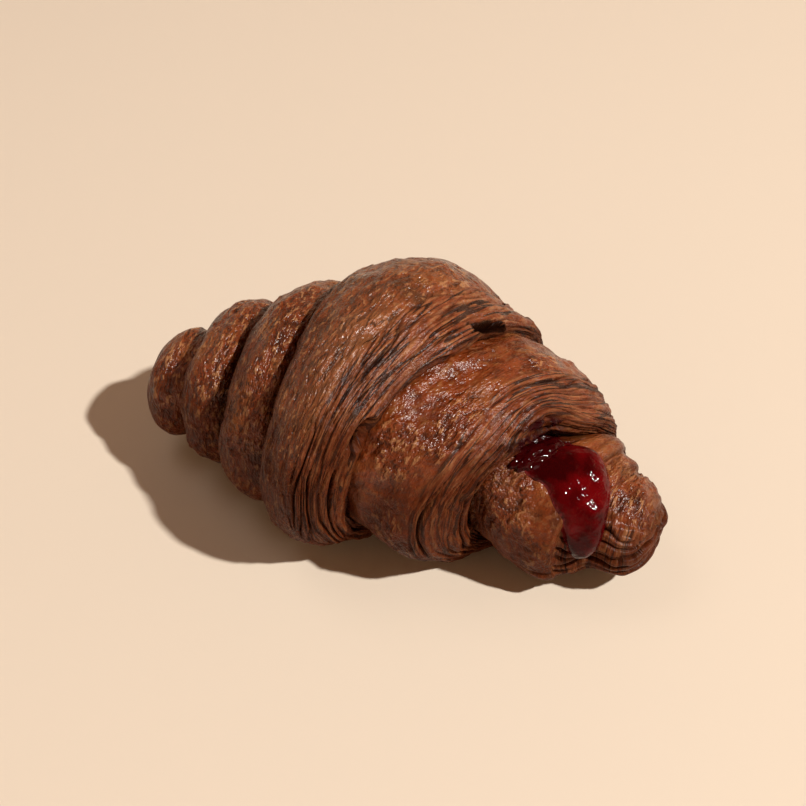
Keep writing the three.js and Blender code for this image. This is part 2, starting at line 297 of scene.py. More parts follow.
def spline_weights(knots, places):
    """The weights of each knot's value at each place along a Catmull-Rom curve with uneven knots."""
    count = len(knots)
    slopes = np.zeros((count, count))
    for i in range(1, count - 1):
        a, b = knots[i] - knots[i - 1], knots[i + 1] - knots[i]
        slopes[i, i - 1], slopes[i, i + 1] = -b / (a * (a + b)), a / (b * (a + b))
        slopes[i, i] = -(slopes[i, i - 1] + slopes[i, i + 1])
    for i, j in ((0, 1), (count - 1, count - 2)):
        slopes[i, i], slopes[i, j] = 1.0 / (knots[i] - knots[j]), 1.0 / (knots[j] - knots[i])
    low = np.clip(np.searchsorted(knots, places, side="right") - 1, 0, count - 2)
    gap = (knots[low + 1] - knots[low])[:, None]
    t = (places - knots[low])[:, None] / gap
    same = np.eye(count)
    return (
        (2.0 * t**3 - 3.0 * t**2 + 1.0) * same[low] + (t**3 - 2.0 * t**2 + t) * gap * slopes[low]
        + (3.0 * t**2 - 2.0 * t**3) * same[low + 1] + (t**3 - t**2) * gap * slopes[low + 1]
    )


def station_knots():
    """Where the stations lie along the curve: each gap is the root of the distance between two stations."""
    stations = stations_at(np.array([TURN / 4.0, TURN * 0.4]))
    x, size = stations[:, 0], (stations[:, 1] + stations[:, 2]) / 2.0
    gaps = np.hypot(np.diff(x, axis=0), np.diff(size, axis=0)).mean(axis=1)
    return np.concatenate([[0.0], np.cumsum(np.sqrt(np.maximum(gaps, 0.3)))])


def axis_at(x, key):
    """The middle of the roll at x, which passes by S-curves through the tips and the wraps' crests."""
    ends = [-LENGTH / 2.0, *(valley["x"] for valley in VALLEYS), LENGTH / 2.0]
    places = [ends[0], *(a + w["crest"] * (b - a) for w, a, b in zip(WRAPS, ends, ends[1:])), ends[-1]]
    values = [START_TIP[key], *(wrap[key] for wrap in WRAPS), END_TIP[key]]
    total = values[0] + 0.0 * x
    for i in range(1, len(places)):
        total = total + (values[i] - values[i - 1]) * smooth(x, places[i - 1], places[i])
    return total


KNOTS = station_knots()


def skin(places, angle):
    """The plain skin of the roll: a point for each place along the profile and each angle round it. The
    angle runs from the +Y side over the top. The half width and half height stretch a circle whose lower
    half is made squarer by a power, and nothing is below the table."""
    weights = spline_weights(KNOTS, places)
    stations = stations_at(angle)
    x, width, height = (weights @ stations[:, part] for part in range(3))
    across, up = np.cos(angle), np.sin(angle)
    power = np.where(up < 0.0, UNDERSIDE_POWER, 1.0)
    y = axis_at(x, "side") + np.maximum(width, 0.0) * np.sign(across) * np.abs(across) ** power
    z = axis_at(x, "centre") + np.maximum(height, 0.0) * np.sign(up) * np.abs(up) ** power
    return np.stack([x, y, np.maximum(z, 0.0)], axis=-1)


def spread_by_weight(fine, weight, count):
    """count values along fine, closer together where the weight is high: equal steps of its running sum."""
    running = np.concatenate([[0.0], np.cumsum((weight[1:] + weight[:-1]) / 2.0 * np.diff(fine))])
    return np.interp(np.linspace(0.0, running[-1], count), running, fine)


def normals_of(points):
    """Outward directions on a grid that is closed round its second axis: the cross product of its steps."""
    along = np.gradient(points, axis=0)
    around = np.roll(points, -1, axis=1) - np.roll(points, 1, axis=1)
    normal = np.cross(around, along)
    return normal / np.maximum(np.linalg.norm(normal, axis=-1, keepdims=True), 1e-9)


def layering(phase, along, seed, groove, groove_width, lift, bulge, gaps=0.55):
    """Stacked layers of dough seen edge on. phase counts the layers. Each one bulges as a parabola, stands
    a little higher or lower than its neighbours, and is parted from the next by a crack, a bell in the
    distance to the nearest whole number. Its depth and the lift change slowly along the layer, and the
    crack is closed where the noise is low: gaps is its middle depth.
    Returns the height and how deep in a crack each point is."""
    layer = np.floor(phase)
    share = phase - layer
    edge = np.round(phase)
    depth = np.clip(gaps + 1.5 * noise(edge * 7.31, along[0], along[1], seed), 0.0, 1.0)
    cut = depth * bell(phase, edge, groove_width)
    raised = noise(layer * 5.17 + 40.0, along[0] * 0.8, along[1] * 0.8, seed + 3)
    return lift * raised + bulge * (1.0 - (2.0 * share - 1.0) ** 2) - groove * cut, cut


def crust_grid(rows, columns):
    """The crust's grid: places along the profile, closer in the layered bands, and angles, closer on top
    and at the front. With the places come their stations and their distances along the skin."""
    fine = np.linspace(0.0, KNOTS[-1], 6000)
    some = stations_at(np.linspace(0.0, TURN, 12, endpoint=False))
    curves = np.einsum("us,skn->ukn", spline_weights(KNOTS, fine), some)
    step = np.linalg.norm(np.diff(curves, axis=0), axis=1).mean(axis=1)
    length = np.concatenate([[0.0], np.cumsum(step)])
    station = np.interp(fine, KNOTS, np.arange(len(KNOTS)))
    weight = 1.0 + 2.2 * smooth(station, 32.2, 33.4) * (1.0 - smooth(station, WIDE_LIP, WIDE_LIP + 0.8))
    weight = weight + 2.2 * smooth(station, 43.2, 43.9) * (1.0 - smooth(station, NEXT_LIP, NEXT_LIP + 0.8))
    weight = weight + 0.5 * smooth(station, 59.5, 61.0)
    for lip, width in zip(NARROW_LIPS, (1.4, 1.4, 1.6)):
        weight = weight + 0.7 * bell(station, lip, width)
    lengths = spread_by_weight(length, weight, rows + 2)[1:-1]
    places = np.interp(lengths, length, fine)
    turn = np.linspace(0.0, TURN, 2000)
    density = 1.0 + 0.7 * smooth(turn, 0.5, 1.0) * (1.0 - smooth(turn, 3.8, 4.2))
    density = density - 0.45 * bell(turn, 4.7, 0.6)
    angle = spread_by_weight(turn, density, columns + 1)[:-1]
    return places, np.interp(places, KNOTS, np.arange(len(KNOTS))), lengths, angle


def rough(at, size, seed, octaves=1):
    """Noise in lumps as long as they are wide. size is how big they are, in millimetres."""
    return noise(at.x / size, at.y / size, at.z / size, seed, octaves)


def grain_noise(at, across, along, seed, octaves=1):
    """Noise whose lumps lie round the roll with the wraps. across is their size from tip to tip and along
    is their size round the roll, in millimetres."""
    return noise(at.length / across, at.round_y / along, at.round_z / along, seed, octaves)


def round_the_roll(at, size):
    """Where a point is on a circle about as wide as its wrap, as a share of a size in millimetres."""
    return at.round_y / size, at.round_z / size


def laps_in_layers(at):
    """How much the dough shows its layers in the bands at the laps of the widest wrap and the next: from a
    start that depends on the angle, with a wobble, to the lap's lip."""
    wobble = 1.2 * grain_noise(at, 9.0, 9.0, 11, 2)
    bands = []
    for angles, starts, lip in (
        ((0, 60, 100, 150, 190, 270, 360), (34.1, 34.0, 33.6, 33.1, 32.9, 33.4, 34.1), WIDE_LIP),
        ((0, 55, 85, 130, 190, 270, 360), (43.8, 43.8, 43.45, 43.9, 43.9, 43.7, 43.8), NEXT_LIP),
    ):
        start = at.length_at(np.interp(at.degrees, angles, starts))
        begun = smooth(at.length + wobble, start - 0.8, start + 0.8)
        bands.append(begun * (1.0 - smooth(at.station, lip, lip + 0.7)))
    return bands


def folded_tip(at, lean):
    """How much the jam tip is folded: below its smooth cap, and in a strip low on the front."""
    cap_edge = 27.5 + 1.6 * lean - 0.45 * np.maximum(at.x - 64.0, 0.0) - 5.5 * smooth(at.y, 4.0, 16.0)
    folds = smooth(at.station, 59.4, 60.6) * smooth(cap_edge - at.z, -0.6, 0.8)
    low_strip = smooth(at.x, 43.0, 52.0) * (1.0 - smooth(at.z, 9.5, 14.0)) * (1.0 - smooth(at.y, -2.0, 6.0))
    return np.maximum(folds, 0.7 * low_strip)


def skin_relief(sizes, at, smoothness):
    """The height of the skin that isn't layered or folded: noise in big lumps, small dents from the widest
    lap on, wrinkles as finer noise with a crease where another noise is near nothing, and blisters where a
    third one is high."""
    relief = 0.8 * rough(at, 17.0, 1) + 0.5 * rough(at, 7.5, 2)
    dents = 0.45 * smooth(at.station, 38.0, 40.0) * grain_noise(at, 4.5, 6.5, 7)
    relief = relief + smoothness * (dents + 0.36 * grain_noise(at, 3.0, 6.5, 3))
    wrinkle = grain_noise(at, 2.1, 8.0, 4, 2)
    crease = 1.0 - np.abs(noise(at.length / 3.4 + 0.4 * wrinkle, *round_the_roll(at, 15.0), 6))
    relief = relief + smoothness * sizes.wrinkle / MM * (wrinkle - 1.1 * smooth(crease, 0.82, 1.0))
    patch = smooth(rough(at, 11.0, 8), -0.1, 0.5)
    blister = np.maximum(rough(at, 1.9, 9) - 0.25, 0.0)
    for lip in NARROW_LIPS:
        patch = patch * (1.0 - bell(at.station, lip, 1.6))
    return relief + smoothness * patch * sizes.blister / MM * blister * 1.8


def band_relief(sizes, at, wide_band, next_band, sway):
    """The height and the cracks of the two layered bands: split layers with finer leaves between them and
    chipped edges, and low on the front of the roll coarse strands."""
    count = at.length / (sizes.layer / MM)
    split, split_cut = layering(count + sway, round_the_roll(at, 19.0), 20, 1.0, 0.09, 0.4, 0.2, 0.5)
    leaf, leaf_cut = layering(
        count * 1.9 + 1.7 * sway, round_the_roll(at, 9.0), 24, 0.5, 0.13, 0.2, 0.08, 0.35)
    fine = split + leaf + 0.22 * grain_noise(at, 1.3, 3.2, 27, 2)
    fine_cut = np.maximum(split_cut, 0.8 * leaf_cut)
    strand, strand_cut = layering(
        at.length / (sizes.strand / MM) + 0.9 * sway, round_the_roll(at, 20.0), 30, 1.35, 0.13, 0.6, 0.5)
    low_front = smooth(at.degrees, 138.0, 160.0) * (1.0 - smooth(at.degrees, 212.0, 232.0))
    strands = low_front * np.maximum(wide_band, next_band * smooth(at.degrees, 150.0, 175.0))
    band = np.maximum(wide_band, next_band)
    relief = band * ((1.0 - 0.55 * strands) * fine) + strands * strand
    return relief, np.maximum(band * (1.0 - 0.5 * strands) * fine_cut, strands * strand_cut)


def fold_relief(sizes, at, lean):
    """The height and the cracks of the folds round the jam tip, counted by height, with thin ones between."""
    count = at.z / (sizes.fold / MM) + 0.55 * lean + 0.3 * noise(at.x / 3.6, at.y / 3.6, at.z / 4.5, 62)
    fold, cut = layering(count, (at.x / 10.0, at.y / 10.0), 63, 1.7, 0.14, 1.0, 0.5, 0.8)
    thin, thin_cut = layering(count * 2.7, (at.x / 8.0, at.y / 8.0), 66, 0.35, 0.16, 0.2, 0.05, 0.3)
    return fold + thin, np.maximum(cut, 0.5 * thin_cut)


def openings(at, sway, cut):
    """The height in the slot in the widest lap, in the hollow low in the same lap, which has strands of
    crumb across it, and in the dent in the plain tip. cut comes back with their cracks and with painted
    shade: black in the slot and at least half dark in the hollow."""
    line = at.length_at(35.25 + 0.06 * (71.0 - at.degrees)) + 0.3 * noise(at.degrees / 5.0, 0.0, 0.0, 71)
    slot = bell(at.length, line, 1.5) * (1.0 - smooth(np.abs(at.degrees - 71.0), 5.0, 9.5))
    cut = np.maximum(cut, smooth(slot, 0.03, 0.15))
    away = np.hypot((at.length - at.length_at(35.3)) / 3.0, (at.degrees - 146.0) / 10.0)
    hollow = 1.0 - smooth(away, 0.6, 1.0)
    strand, strand_cut = layering(
        at.length / 1.15 + 0.5 * sway, round_the_roll(at, 9.0), 75, 1.6, 0.27, 0.6, 0.3, 0.9)
    cut = np.maximum(cut * (1.0 - hollow), hollow * np.maximum(strand_cut, 0.5))
    dent = bell(at.station, 4.6, 0.55) * bell(at.degrees, 121.0, 9.0)
    return hollow * (strand - 3.0) - 5.5 * smooth(slot, 0.25, 0.6) - 1.1 * dent, cut


def soaked(at):
    """The crust that is soaked with jam, as its height and its share of stain: the lip over the tear, in
    lumps, and the inside of the tear."""
    lump = rough(at, 2.3, 81, 2)
    mouth = smooth(at.degrees, 58.0, 80.0) * (1.0 - smooth(at.degrees, 112.0, 124.0))
    inside = smooth(at.station, 47.2, 47.9) * (1.0 - smooth(at.station, 50.6, 51.6)) * mouth
    start = np.interp(at.degrees, (75, 90, 105, 121), (46.3, 45.6, 45.0, 44.6))
    lip = smooth(at.station, start - 0.25, start + 0.25) * (1.0 - smooth(at.station, 48.0, 48.6))
    lip = lip * smooth(at.degrees, 74.0, 84.0) * (1.0 - smooth(at.degrees, 112.0, 122.0))
    return (0.9 * lip + 0.4 * inside) * lump, np.maximum(lip * smooth(lump, -0.35, 0.15), 0.95 * inside)


def crust_relief(sizes, points, upright, station, length, angle):
    """What the oven did to the plain skin, in millimetres outwards, the masks that colour it, and the
    coordinates that its grain follows. Some masks are painted light: shade in the grooves and low down,
    and a sheen on the crown. The height is the sum of the parts above, and fades out at the two
    ends, where the grid runs together."""
    wrap_radii = ((0, 5, 13, 23, 33, 43, 53, 62, 66), (6, 15, 23, 31, 40, 32, 20, 13, 5))
    radius = np.interp(station, *wrap_radii)[:, None]
    at = SimpleNamespace(
        x=points[..., 0], y=points[..., 1], z=points[..., 2], station=station[:, None],
        length=length[:, None], length_at=lambda number: np.interp(number, station, length),
        degrees=np.degrees(angle)[None, :], round_y=radius * np.cos(angle), round_z=radius * np.sin(angle))
    wide_band, next_band = laps_in_layers(at)
    band = np.maximum(wide_band, next_band)
    lean = rough(at, 8.0, 61)
    folds = folded_tip(at, lean)
    sway = 0.55 * grain_noise(at, 4.0, 9.0, 14) + 1.3 * grain_noise(at, 10.0, 24.0, 15)

    relief = skin_relief(sizes, at, (1.0 - 0.7 * band) * (1.0 - 0.85 * folds))
    band_height, cut = band_relief(sizes, at, wide_band, next_band, sway)

    # a few layer edges on the lips of the narrow wraps, and where the last wrap starts
    lips = 0.5 * bell(at.station, 51.0, 0.8)
    for lip, share in zip(NARROW_LIPS, (1.0, 1.0, 0.9)):
        lips = lips + share * bell(at.station, lip + 0.2, 0.9)
    lips = lips * smooth(noise(*round_the_roll(at, 14.0), at.station / 9.0, 17), -0.7, 0.0)
    lips = lips * (1.0 - smooth(-np.sin(angle), 0.55, 0.9))
    thin, thin_cut = layering(at.length / 1.5 + sway, round_the_roll(at, 11.0), 50, 0.7, 0.14, 0.12, 0.1)
    fold_height, fold_cut = fold_relief(sizes, at, lean)
    cut = np.maximum(cut, np.maximum(lips * thin_cut, folds * fold_cut))
    open_height, cut = openings(at, sway, cut)
    soaked_height, stain = soaked(at)
    relief = relief + band_height + lips * thin + folds * fold_height + open_height + soaked_height

    # flaky on the narrow wraps and next to the widest band, and nearly smooth towards the jam
    flaky = 1.0 - 0.72 * smooth(at.station, 38.0, 39.0) + 0.7 * smooth(rough(at, 13.0, 85), 0.1, 0.6)
    flaky = np.clip(flaky - 0.75 * bell(at.station, 33.2, 0.9) * bell(at.degrees, 112.0, 30.0), 0.1, 1.0)
    # painted shade: the bottoms of the first five seams are painted near black
    for seam, width, share in SHADED_SEAMS:
        cut = np.maximum(cut, share * bell(at.station, seam, width))

    masks = {
        "stain": stain,
        "layered": np.clip(band + lips * 0.7 + folds * (1.0 - smooth(at.station, 62.8, 64.6)), 0.0, 1.0),
        # painted shade: near black in the cracks, the slot, the hollow and the bottoms of the seams
        "groove": np.clip(cut, 0.0, 1.0),
        # painted shade: darker the less the skin faces up, where it is also drier and has less wash
        "underside_shade": 1.0 - smooth(upright + 0.25 * lean, 0.1, 0.95),
        "flaky": flaky * (1.0 - 0.55 * band) * (1.0 - 0.5 * folds),
        # the crown of the widest wrap: its fine crazing, and where a painted sheen lightens it
        "crazing_and_sheen": bell(at.station, 33.3, 1.7) * bell(at.degrees, 116.0, 32.0) * np.ones_like(at.x),
    }
    keep = smooth(at.station, 0.3, 2.5) * (1.0 - smooth(at.station, 65.6, 66.0))
    grain = np.stack(np.broadcast_arrays(at.length, at.round_y, at.round_z), axis=-1)
    return relief * keep, masks, grain


# ---------------------------------------------------------------- meshes and materials


def to_frame():
    """What moves the roll's own frame onto the crust that is there already: the difference between the
    middles of the two boxes."""
    low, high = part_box("croissant")
    places = np.linspace(0.0, KNOTS[-1], 400)[1:-1]
    points = skin(places, np.linspace(0.0, TURN, 180, endpoint=False)).reshape(-1, 3)
    middle = (points.min(axis=0) + points.max(axis=0)) / 2.0 * MM
    return np.array([(low.x + high.x) / 2.0 - middle[0], (low.y + high.y) / 2.0 - middle[1], 0.0])


def closed_rings(name, start, rings, end, masks=None, grain=None):
    """A closed mesh from rings of points, in millimetres in the roll's frame, with a point at each end.
    Its UV map OFBake takes the ring's number upwards and the place in the ring across. masks and grain
    become attributes of its points."""
    count, around = rings.shape[:2]
    points = np.concatenate([[start], rings.reshape(-1, 3), [end]]) * MM + to_frame()
    column = np.arange(around)
    after = (column + 1) % around
    row = 1 + np.arange(count - 1)[:, None] * around
    quads = np.stack([row + column, row + after, row + around + after, row + around + column], axis=-1)
    last, top = count * around + 1, 1 + (count - 1) * around
    first_fan = np.stack([0 * column, 1 + after, 1 + column], axis=-1)
    last_fan = np.stack([0 * column + last, top + column, top + after], axis=-1)
    mesh = bpy.data.meshes.new(name)
    mesh.from_pydata(points, [], quads.reshape(-1, 4).tolist() + first_fan.tolist() + last_fan.tolist())
    steps = np.linalg.norm(np.diff(rings, axis=0), axis=-1).mean(axis=1)
    up = 0.01 + 0.98 * np.concatenate([[0.0], np.cumsum(steps)]) / steps.sum()
    sides = np.concatenate([[0.0], np.cumsum(np.linalg.norm(
        np.roll(rings, -1, axis=1) - rings, axis=-1).mean(axis=0))])
    sides = sides / sides[-1]
    left, right = sides[:-1], sides[1:]
    across = np.broadcast_to(np.stack([left, right, right, left], axis=-1), (count - 1, around, 4))
    low, high = up[:-1, None] + 0.0 * left, up[1:, None] + 0.0 * left
    quad_map = np.stack([across, np.stack([low, low, high, high], axis=-1)], axis=-1).reshape(-1, 2)
    half = (left + right) / 2.0
    none = 0.0 * half
    first_up = np.stack([none, none + up[0], none + up[0]], axis=-1)
    last_up = np.stack([none + 1.0, none + up[-1], none + up[-1]], axis=-1)
    first_map = np.stack([np.stack([half, right, left], axis=-1), first_up], axis=-1)
    last_map = np.stack([np.stack([half, left, right], axis=-1), last_up], axis=-1)
    layer = mesh.uv_layers.new(name="OFBake")
    layer.uv.foreach_set("vector", np.concatenate(
        [quad_map, first_map.reshape(-1, 2), last_map.reshape(-1, 2)]).astype(np.float32).ravel())
    for key, values in (masks or {}).items():
        flat = np.concatenate([[values[0].mean()], values.ravel(), [values[-1].mean()]])
        mesh.attributes.new(key, "FLOAT", "POINT").data.foreach_set("value", flat.astype(np.float32))
    if grain is not None:
        flat = np.concatenate([[grain[0].mean(axis=0)], grain.reshape(-1, 3), [grain[-1].mean(axis=0)]]) * MM
        attribute = mesh.attributes.new("grain", "FLOAT_VECTOR", "POINT")
        attribute.data.foreach_set("vector", flat.astype(np.float32).ravel())
    mesh.polygons.foreach_set("use_smooth", np.ones(len(mesh.polygons), bool))
    mesh.update()
    piece = bpy.data.objects.new(name, mesh)
    bpy.context.scene.collection.objects.link(piece)
    return piece


def gap_to_crust(points):
    """How far each point of a grid is from the nearest point of the crust, in millimetres, row by row."""
    mesh = bpy.data.objects["baked_crust"].data
    crust = np.zeros(len(mesh.vertices) * 3, np.float32)
    mesh.vertices.foreach_get("co", crust)
    crust = (crust.reshape(-1, 3) - to_frame()) / MM
    low, high = points.min(axis=(0, 1)) - 4.0, points.max(axis=(0, 1)) + 4.0
    crust = crust[np.all((crust > low) & (crust < high), axis=1)]
    return np.array([
        np.sqrt(((row[:, None] - crust[None]) ** 2).sum(axis=-1).min(axis=1)) for row in points])


def add_node(tree, kind, inputs=None, stops=None, **settings):
    """Adds a shader node. settings are its own properties, inputs gives each socket a value, or the socket
    or the node that feeds it, and stops are the places and colours of a ramp. A node feeds from the first
    output that its settings leave in use."""
    added = tree.nodes.new(kind)
    for key, value in settings.items():
        setattr(added, key, value)
    for key, value in (inputs or {}).items():
        if isinstance(value, bpy.types.Node):
            value = next(output for output in value.outputs if output.enabled)
        if isinstance(value, bpy.types.NodeSocket):
            tree.links.new(value, added.inputs[key])
        else:
            added.inputs[key].default_value = value
    for index, (place, colour) in enumerate(stops or []):
        points = added.color_ramp.elements
        point = points[index] if index < 2 else points.new(place)
        point.position, point.color = place, colour
    return added


def baked_crust(colours):
    """Egg-washed laminated cocoa dough, baked dark. The smooth skin is brown with ochre and near-black
    mottling and a satin sheen from the wash. Where the layers show edge on it is paler, dry and matt.
    Painted light and shade lie over it: a lighter painted sheen on the crown of the widest wrap, painted
    shade where the skin faces down, and near-black painted shade in the grooves, slot and seams."""
    material = bpy.data.materials.new("egg-washed cocoa pastry, baked")
    material.use_nodes = True
    tree = material.node_tree
    brown, dark, ochre, layer, between, stained = (
        tuple(getattr(colours, name)) for name in ("brown", "dark", "ochre", "layer", "groove", "stain"))
    place = add_node(tree, "ShaderNodeTexCoord").outputs["Object"]
    grain = add_node(tree, "ShaderNodeAttribute", attribute_name="grain").outputs["Vector"]
    layered, groove, underside_shade, stain, crazing_and_sheen, flaky = (
        add_node(tree, "ShaderNodeAttribute", attribute_name=name).outputs["Fac"]
        for name in ("layered", "groove", "underside_shade", "stain", "crazing_and_sheen", "flaky"))
    # the grain along the wraps: twice as long as wide in the skin, and more so in the layers
    flow, strip, thread = (
        add_node(tree, "ShaderNodeMapping", {"Vector": grain, "Scale": (1.0, squeeze, squeeze)})
        for squeeze in (0.5, 0.16, 0.07))

    # baked unevenly: patches as large as a fingertip, mottling where the skin is thin or thick, flakes, the
    # edges of the layers, and the noises whose middle value draws hairline cracks and crazing
    patches, mottling, flakes, edges, lines, craze = (
        add_node(tree, "ShaderNodeTexNoise", {
            "Vector": along, "Scale": 1.0 / (size * MM), "Detail": detail, "Roughness": roughness})
        for along, size, detail, roughness in (
            (place, PATCH, 3.0, 0.6), (flow, MOTTLE, 4.0, 0.65), (flow, FLAKE, 2.0, 0.6),
            (strip, EDGE, 3.0, 0.65), (thread, HAIRLINE, 2.0, 0.55), (strip, CRAZE, 2.0, 0.5)))
    # thin skin and thick skin, and small flakes that have lifted, with small pits between them
    thin, thick, lifted, pitted = (
        add_node(tree, "ShaderNodeMapRange", {
            "Value": pattern, "From Min": low, "From Max": high, "To Min": at_low, "To Max": at_high})
        for pattern, low, high, at_low, at_high in (
            (mottling, 0.54, 0.66, 0.0, 0.5), (mottling, 0.36, 0.48, 0.6, 0.0),
            (flakes, 0.57, 0.61, 0.0, 0.75), (flakes, 0.38, 0.42, 0.7, 0.0)))
    # cracks in the layers, and fine ones in the skin that is stretched thin on the widest wrap
    cracks = [
        add_node(tree, "ShaderNodeMath", {
            0: add_node(tree, "ShaderNodeMath", {0: pattern, 1: 0.5, 2: width}, operation="COMPARE"),
            1: share}, operation="MULTIPLY")
        for pattern, width, share in ((lines, 0.026, layered), (craze, 0.02, crazing_and_sheen))]
    crack = add_node(tree, "ShaderNodeMath", dict(enumerate(cracks)), operation="MAXIMUM")

    # the baked skin, and what lies over it in turn: where, at most how much of it, and in which colour
    tone = add_node(tree, "ShaderNodeValToRGB", {"Fac": patches}, [(0.24, dark), (0.5, brown), (0.84, ochre)])
    edge_tone = add_node(
        tree, "ShaderNodeValToRGB", {"Fac": edges}, [(0.3, dark), (0.48, brown), (0.7, layer)])
    for where, most, colour in (
        (thin, 1.0, ochre), (thick, 1.0, dark), (lifted, flaky, layer), (pitted, flaky, dark),
        # painted sheen: the crown of the widest wrap is lightened towards the layer colour
        (crazing_and_sheen, 0.3, layer), (layered, 0.6, edge_tone), (crack, 0.85, between),
        # painted shade: darker where the skin faces down, and near black in the cracks, slot, hollow and
        # seams
        (underside_shade, 0.64, dark), (groove, 0.97, between), (stain, 1.0, stained),
    ):
        share = add_node(tree, "ShaderNodeMath", {0: where, 1: most}, operation="MULTIPLY")
        tone = add_node(tree, "ShaderNodeMix", {0: share, 6: tone, 7: colour}, data_type="RGBA")

    # satin where the wash was brushed on, drier in the layers and low down, and wet where the jam is
    gloss = add_node(tree, "ShaderNodeMapRange", {
        "Value": patches, "From Min": 0.35, "From Max": 0.65, "To Min": 0.2, "To Max": 0.36})
    for where, drier in ((layered, 0.08), (underside_shade, 0.12)):
        gloss = add_node(tree, "ShaderNodeMath", {0: where, 1: drier, 2: gloss}, operation="MULTIPLY_ADD")
    gloss = add_node(tree, "ShaderNodeMix", {0: stain, 2: gloss, 3: 0.2})
    # less wash low down, and next to none in the grooves
    wash = add_node(tree, "ShaderNodeMapRange", {"Value": underside_shade, "To Min": 0.5, "To Max": 0.12})
    reached = add_node(tree, "ShaderNodeMath", {0: groove, 1: -0.9, 2: 1.0}, operation="MULTIPLY_ADD")
    wash = add_node(tree, "ShaderNodeMath", {0: wash, 1: reached}, operation="MULTIPLY")

    # relief that is too fine for the mesh, in millimetres
    flake_height = add_node(tree, "ShaderNodeMapRange", {"Value": flaky, "To Min": 0.1, "To Max": 1.6})
    edge_height = add_node(tree, "ShaderNodeMath", {0: layered, 1: 0.5}, operation="MULTIPLY")
    relief = 0.0
    for pattern, height in ((mottling, 1.4), (flakes, flake_height), (edges, edge_height), (crack, -0.3)):
        relief = add_node(
            tree, "ShaderNodeMath", {0: pattern, 1: height, 2: relief}, operation="MULTIPLY_ADD")
    bump = add_node(tree, "ShaderNodeBump", {"Height": relief, "Distance": MM})

    shader = tree.nodes["Principled BSDF"]
    shader.inputs["IOR"].default_value = 1.5
    tree.links.new(tone.outputs[2], shader.inputs["Base Color"])
    tree.links.new(gloss.outputs[0], shader.inputs["Roughness"])
    tree.links.new(wash.outputs[0], shader.inputs["Specular IOR Level"])
    tree.links.new(bump.outputs["Normal"], shader.inputs["Normal"])
    return material


def glossy_jam(colours):
    """Boiled red fruit jam, set and wet. It is a clear gel: deep red where it is thick, a lighter red at
    its thin rim, with a wet gloss. thick is 0.3 at the rim, 1 in the run and 1.3 in the tear."""
    material = bpy.data.materials.new("set red fruit jam, wet")
    material.use_nodes = True
    tree = material.node_tree
    place = add_node(tree, "ShaderNodeTexCoord").outputs["Object"]
    thick = add_node(tree, "ShaderNodeAttribute", attribute_name="thick").outputs["Fac"]
    cloud = add_node(tree, "ShaderNodeTexNoise", {
        "Vector": place, "Scale": 1.0 / (CLOUD * MM), "Detail": 2.0})
    deep = add_node(tree, "ShaderNodeValToRGB", {"Fac": cloud}, [
        (0.38, tuple(colours.jam_dark)), (0.68, tuple(colours.jam))])
    tone = add_node(tree, "ShaderNodeMix", {0: thick, 6: tuple(colours.rim), 7: deep}, data_type="RGBA")
    # darker still in the tear
    held = add_node(tree, "ShaderNodeMapRange", {"Value": thick, "From Min": 1.0, "From Max": 1.3})
    tone = add_node(tree, "ShaderNodeMix", {0: held, 6: tone, 7: tuple(colours.jam_dark)}, data_type="RGBA")
    clear = add_node(tree, "ShaderNodeMapRange", {"Value": thick, "To Min": 0.55, "To Max": 0.03})
    # small bubbles, which make the gloss uneven
    bubbles = add_node(tree, "ShaderNodeTexNoise", {
        "Vector": place, "Scale": 1.0 / (BUBBLE * MM), "Detail": 1.5})
    bump = add_node(tree, "ShaderNodeBump", {"Height": bubbles, "Distance": 0.35 * MM})

    shader = tree.nodes["Principled BSDF"]
    shader.inputs["Subsurface Weight"].default_value = 0.1
    shader.inputs["Subsurface Scale"].default_value = 2.0 * MM
    shader.inputs["Subsurface Radius"].default_value = (1.0, 0.1, 0.05)
    shader.inputs["Roughness"].default_value = 0.06
    shader.inputs["IOR"].default_value = 1.38
    shader.inputs["Specular IOR Level"].default_value = 0.25
    tree.links.new(tone.outputs[2], shader.inputs["Base Color"])
    tree.links.new(clear.outputs["Result"], shader.inputs["Transmission Weight"])
    tree.links.new(bump.outputs["Normal"], shader.inputs["Normal"])
    return material


def matt_paper(colours):
    """Seamless studio paper, pale and matt."""
    material = bpy.data.materials.new("matt studio paper")
    material.use_nodes = True
    shader = material.node_tree.nodes["Principled BSDF"]
    shader.inputs["Base Color"].default_value = tuple(colours.paper)
    shader.inputs["Roughness"].default_value = 0.9
    shader.inputs["Specular IOR Level"].default_value = 0.1
    return material


# ---------------------------------------------------------------- settings


def length_setting(name, description, default):
    """A length setting, whose default is given in millimetres."""
    return bpy.props.FloatProperty(
        name=name, description=description, default=default * MM, min=0.0, unit="LENGTH")


def colour_setting(name, description, default):
    """A colour setting, whose default is an sRGB hex value."""
    return bpy.props.FloatVectorProperty(
        name=name, description=description, default=linear(default), size=4, min=0.0, max=1.0,
        subtype="COLOR")


class CroissantSizes(bpy.types.PropertyGroup):
    """Sizes of the croissant's surface."""

    layer: length_setting("Layer", "Spacing of the fine layers that show edge on", 2.5)
    strand: length_setting("Strand", "Spacing of the coarse strands low on the front", 3.0)
    fold: length_setting("Fold", "Spacing of the folds round the jam tip", 2.9)
    wrinkle: length_setting("Wrinkle", "Height of the wrinkles in the smooth skin", 0.26)
    blister: length_setting("Blister", "Height of the small blisters", 0.6)
    rows: bpy.props.IntProperty(name="Rows", description="Steps along the roll", default=430, min=60)
    columns: bpy.props.IntProperty(name="Columns", description="Steps round the roll", default=230, min=24)


